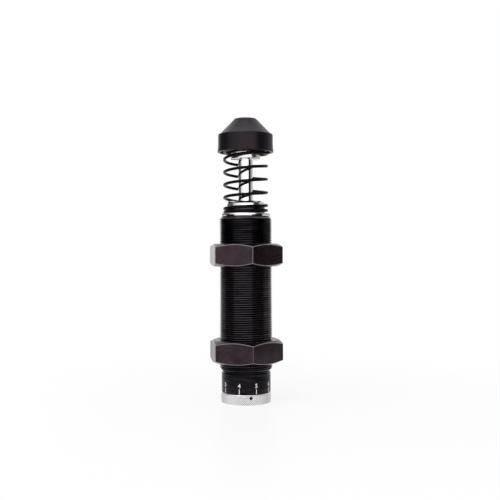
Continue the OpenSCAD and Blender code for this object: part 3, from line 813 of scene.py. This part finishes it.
def core_piece():
    """Turned core of the cap: hub over the rod, spring seat, and a grooved boss that holds the cap."""
    hub_r, hub_round, edge, end_gap = 10.25, 0.4, 0.3, 0.5
    rod_bore, stub_bore = ROD_R + FIT, STUB_R + FIT
    stub_z, stub_end = ROD_HIGH - STUB_H, ROD_HIGH + end_gap
    groove_low, groove_high = GROOVE_Z
    outline = [
        (0, stub_end), (stub_bore, stub_end), (stub_bore, stub_z), (rod_bore, stub_z),
        (rod_bore, CORE_Z + edge), (rod_bore + edge, CORE_Z),
        *arc((hub_r - hub_round, CORE_Z + hub_round), hub_round, -90, 0, 4),
        (hub_r, SEAT_Z - hub_round), (hub_r + hub_round, SEAT_Z), (SEAT_R - edge, SEAT_Z),
        (SEAT_R, SEAT_Z + edge), (SEAT_R, SEAT_TOP), (BOSS_R, SEAT_TOP), (BOSS_R, groove_low),
        (GROOVE_R, groove_low), (GROOVE_R, groove_high), (BOSS_R, groove_high), (BOSS_R, CORE_TOP),
        (0, CORE_TOP),
    ]
    return lathe("turned_core", outline, core_metal, "rod", ["cap_core"])


def cap_piece():
    """The moulded cap: flared skirt, straight side, rounded shoulder, cone and flat face, hollow inside.

    A shallow crease runs where the cone leaves the shoulder.
    """
    side_r, cone_r, face_r = 18.75, 17.6, 7.5
    rim_h, flare_h, shoulder_h, rounding, lip = 0.5, 6.3, 12.4, 0.8, 0.4
    crease_w, crease_low, crease_high = 0.25, 0.04, 0.06
    flare_steps = 10
    skirt_r, skirt_top = SEAT_R + 0.7, SEAT_Z - 0.2
    boss_r, groove_r, seat_r = BOSS_R + FIT, GROOVE_R + FIT, SEAT_R + FIT
    shoulder_z = RIM_Z + shoulder_h
    groove_low, groove_high = GROOVE_Z
    slope = math.degrees(math.atan2(FACE_Z - shoulder_z, cone_r - face_r))
    reach = rounding * math.tan(math.radians(slope / 2))
    flare = []
    for i in range(1, flare_steps + 1):
        x = i / flare_steps
        r = RIM_R - (RIM_R - side_r) * (1 - (1 - x) ** 2)
        flare.append((r, RIM_Z + rim_h + (flare_h - rim_h) * x))
    outline = [
        (0, CORE_TOP + FIT), (boss_r, CORE_TOP + FIT), (boss_r, groove_high - FIT),
        (groove_r, groove_high - FIT), (groove_r, groove_low + FIT), (boss_r, groove_low + FIT),
        (boss_r, SEAT_TOP + FIT), (seat_r, SEAT_TOP + FIT), (seat_r, skirt_top),
        (skirt_r, skirt_top), (skirt_r, RIM_Z + lip),
        *arc((skirt_r + lip, RIM_Z + lip), lip, 180, 270, 4),
        *arc((RIM_R - lip, RIM_Z + lip), lip, -90, 10, 5),
        *flare,
        *arc((side_r - rounding, shoulder_z - rounding), rounding, 0, 90, 8),
        (cone_r + crease_w, shoulder_z - crease_low), (cone_r, shoulder_z + crease_high),
        *arc((face_r - reach, FACE_Z - rounding), rounding, 90 - slope, 90, 8),
        (0, FACE_Z),
    ]
    return lathe("bumper", outline, cap_polymer, "rod", ["bumper_cap"], sharp=35)


# ---------------------------------------------------------------- nuts


def lock_nut(name, node, body, material, corner):
    """A hexagon nut with rounded corners, a chamfer at each face and a countersunk bore.

    corner is the extra value that the six corners have on top of that of the flats: partly wear, partly
    painted highlight.
    """
    across, corner_round, corner_turn = 46.0, 0.5, 10.4
    face_r, chamfer_angle, countersink = 21.6, math.radians(24), 0.9
    edge, bevel, band = 0.22, 0.15, 0.2
    on_flat, on_corner = 23, 7      # columns
    half = math.pi / 6
    turn = math.radians(corner_turn - 90)
    low, high = span(node)
    bore_r = THREAD_R + FIT
    flat = across / 2
    inner = (flat - corner_round) / math.cos(half)

    # Directions of the columns, closer together at the six corners.
    corner_half = math.atan2(corner_round * math.sin(half), inner + corner_round * math.cos(half))
    margin = corner_half + edge / across
    wide = np.linspace(margin, 2 * half - margin, on_flat)
    tight = np.linspace(-corner_half, corner_half, on_corner)[1:-1]
    sector = np.concatenate([tight, [corner_half], wide, [2 * half - corner_half]])
    angles = np.concatenate([sector + k * 2 * half for k in range(6)])

    # Radius of the rounded hexagon in each direction, with a corner at angle 0.
    local = (angles + half) % (2 * half) - half
    side = flat / np.cos(half - np.abs(local))
    arc_r = inner * np.cos(local) + np.sqrt(np.maximum(corner_round**2 - (inner * np.sin(local)) ** 2, 0))
    hexagon = np.where(np.abs(local) < corner_half, arc_r, side)

    def row(r, z):
        """One row of points at radius r and height z, turned to the nut's place."""
        r = np.broadcast_to(r, angles.shape)
        z = np.broadcast_to(z, angles.shape)
        return np.stack([r * np.cos(angles + turn), r * np.sin(angles + turn), z], axis=-1)

    # From the bore outwards over one face: each row's radius, depth below the face plane and painted
    # value.
    # The light rings at the countersink and at the face's edge are painted highlights, the lighter
    # hexagon edges are partly wear and partly painted highlight, and the chamfer's lower value is painted
    # shade.
    slope = math.tan(chamfer_angle)
    drop = (hexagon - face_r) * slope
    sink = bore_r + countersink
    steps = [
        (bore_r, countersink, 0.5), (sink - bevel, bevel, 0.7), (sink, 0.0, 1.0), (sink + band, 0.0, 0.4),
        (face_r - band, 0.0, 0.4), (face_r, 0.0, 0.7), (face_r + band, band * slope, 0.35),
        (hexagon - 2 * edge, drop - 2 * edge * slope, 0.35), (hexagon - edge, drop - edge * slope, 0.8),
        (hexagon - edge * 0.3, drop + edge * 0.25, 0.95), (hexagon, drop + edge, 0.75),
        (hexagon, drop + 1.8 * edge, 0.5),
    ]
    lower = [row(r, low + z) for r, z, _ in steps]
    upper = [row(r, high - z) for r, z, _ in reversed(steps)]
    corner_wear_and_highlight = corner * np.clip(1.2 * (1 - np.abs(local) / corner_half), 0, 1)
    row_wear_and_highlight = np.array([np.clip(w + corner_wear_and_highlight * (r is hexagon), 0, 1) for r, _, w in steps])
    bm = bmesh.new()
    grid_mesh(bm, np.array(lower + upper), np.concatenate([row_wear_and_highlight, row_wear_and_highlight[::-1]]))
    weld(bm)
    return finish_mesh(name, bm, material, body, [node], sharp=20)


# ---------------------------------------------------------------- CAD nodes that stay


def paint_nodes():
    """Gives every CAD node that is shown its own finish."""
    finishes = {
        "gland_o_ring": seal_rubber, "rod_seal": seal_rubber, "spindle_o_ring": seal_rubber,
        "seal_washer": inner_metal, "bearing_block": inner_metal, "pressure_tube": inner_metal,
        "tube_plug": inner_metal, "adjuster_spindle": inner_metal, "metering_sleeve": inner_metal,
        "piston": inner_metal, "check_ring": inner_metal, "piston_nut": inner_metal,
        "rod_bush": bush_metal, "lower_thrust_washer": bush_metal, "upper_thrust_washer": bush_metal,
        "piston_ring": bush_metal, "accumulator_foam": foam, "knob_set_screw": screw_steel,
        "outer_tube": body_steel, "gland": gland_metal, "return_spring": spring_steel,
        "rod_wiper": wiper_polymer, "adjuster_knob": knob_metal, "piston_rod": rod_metal,
        "cap_core": core_metal, "bumper_cap": cap_polymer, "upper_nut": upper_nut_steel,
        "lower_nut": lower_nut_steel,
    }
    for name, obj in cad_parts.items():
        obj.data.materials.clear()
        obj.data.materials.append(finishes[name])


# ---------------------------------------------------------------- studio


def camera():
    """Level camera in front of the part, a little to the right of its axis."""
    data = bpy.data.cameras.new("camera")
    data.sensor_width = 36.0
    data.lens = 56.3
    data.clip_start = 0.01
    obj = add_object("camera", data)
    obj.location = (0.0029, -0.535, 0.1038)
    obj.rotation_euler = (math.pi / 2, math.radians(0.19), 0)
    bpy.context.scene.camera = obj


def studio_world():
    """A white studio: large panels round the part with darker gaps between them.

    The camera sees plain white, and metal and glass show that same white behind the part.
    """
    # Brightness in each direction, in degrees from the front, positive to the right.
    panels = [
        (-180, 1.0), (-160, 1.6), (-146, 0.7), (-132, 0.18), (-106, 0.08), (-85, 0.12), (-70, 0.7),
        (-58, 0.9), (-35, 1.05), (-15, 1.5), (40, 1.5), (54, 0.02), (80, 0.02), (92, 0.3),
        (105, 0.42), (125, 0.48), (150, 0.6), (180, 1.0),
    ]
    overhead = (0.68, 0.68, 0.68)
    world = bpy.data.worlds.new("studio")
    bpy.context.scene.world = world
    world.use_nodes = True
    world.node_tree.nodes.clear()
    t = Tree(world.node_tree)
    split = t.add("ShaderNodeSeparateXYZ")
    t.join(t.add("ShaderNodeTexCoord").outputs["Generated"], split.inputs[0])
    x, y, z = split.outputs

    # Direction round the part as a share: 0.5 at the front, 0 and 1 behind it, rising to the right.
    angle = t.compute("ARCTAN2", x, t.compute("MULTIPLY", y, -1.0))
    share = t.remap(angle, -math.pi, math.pi)
    stops = [((degrees + 180) / 360, (level, level, level)) for degrees, level in panels]
    around = t.ramp(share, *stops, interpolation="EASE")

    # Overhead the panels give way to one soft top light.
    light = t.mix(t.remap(z, 0.3, 0.65, curve="SMOOTHSTEP"), around, overhead)

    # 1 for the directions that lie behind the part.
    behind = t.remap(t.compute("ABSOLUTE", t.compute("SUBTRACT", share, 0.5)), 0.45, 0.47)

    studio = t.add("ShaderNodeBackground", Strength=1.0)
    t.join(light, studio.inputs["Color"])
    white = t.add("ShaderNodeBackground", Color=(1.0, 1.0, 1.0, 1.0), Strength=1.0)
    direct, mirrored = t.rays()
    plain = t.compute("MAXIMUM", direct, t.compute("MULTIPLY", mirrored, behind))
    out = t.add("ShaderNodeOutputWorld")
    t.join(t.mix_shader(plain, studio.outputs[0], white.outputs[0]), out.inputs["Surface"])


def white_floor():
    """A pale floor that keeps the part's soft shadow and fades to the white of the background."""
    near, far, near_share = 0.06, 0.30, 0.8
    m = Material("floor")
    m.set(Base_Color=(0.93, 0.93, 0.94, 1.0), Roughness=0.35, Specular_IOR_Level=0.3)
    distance = m.add("ShaderNodeVectorMath", operation="LENGTH")
    m.join(m.place, distance.inputs[0])
    white = m.remap(distance.outputs["Value"], near, far, near_share, 1.0, "SMOOTHSTEP")
    seen = m.compute("MULTIPLY", white, m.compute("MAXIMUM", *m.rays()))
    glow = m.add("ShaderNodeEmission", Strength=1.0)
    surface = m.mix_shader(seen, m.shader.outputs[0], glow.outputs[0])
    m.join(surface, m.tree.nodes["Material Output"].inputs["Surface"])
    bpy.ops.mesh.primitive_circle_add(vertices=96, radius=3.0, fill_type="NGON", location=(0, 0, 0))
    floor = bpy.context.object
    floor.name = "floor"
    floor.data.materials.append(m.material)


def dark_card(name, direction, width):
    """An upright dark card beside the part, which shows only in its reflections.

    direction and width are in degrees, counted from the front towards the right.
    """
    steps, reach, height = 8, 0.3, 0.14
    bm = bmesh.new()
    columns = []
    for i in range(steps + 1):
        angle = math.radians(direction - 90 + width * (i / steps - 0.5))
        foot = (reach * math.cos(angle), reach * math.sin(angle))
        columns.append([bm.verts.new((*foot, z)) for z in (0.0, height)])
    for (a, b), (c, d) in zip(columns, columns[1:]):
        bm.faces.new([a, c, d, b])
    mesh = bpy.data.meshes.new(name)
    bm.to_mesh(mesh)
    bm.free()
    mesh.materials.append(card_black)
    card = add_object(name, mesh)
    card.visible_camera = False
    card.visible_diffuse = False
    card.visible_shadow = False


def top_lamp():
    """One wide soft lamp above and in front, for the gentle shadow under the part."""
    data = bpy.data.lights.new("top_lamp", "AREA")
    data.shape = "DISK"
    data.size = 0.8
    data.energy = 3.5
    lamp = add_object("top_lamp", data)
    lamp.location = (-0.25, -0.35, 0.9)
    lamp.rotation_euler = (math.radians(22), math.radians(-16), 0)


# ---------------------------------------------------------------- the scene

camera()
studio_world()
white_floor()
dark_card("right_card", 55, 54)
dark_card("left_card", -76, 48)
top_lamp()

paint_nodes()
threaded_body()
gland_piece()
wiper_piece()
scale_marks()
scale_numbers()
knurled_knob()
rod_piece()
core_piece()
cap_piece()
lock_nut("upper_lock_nut_hex", "upper_nut", "upper_lock_nut", upper_nut_steel, corner=0.45)
lock_nut("lower_lock_nut_hex", "lower_nut", "lower_lock_nut", lower_nut_steel, corner=0.2)

spring = spring_piece()
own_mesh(spring)

bpy.context.scene.view_settings.view_transform = "Standard"
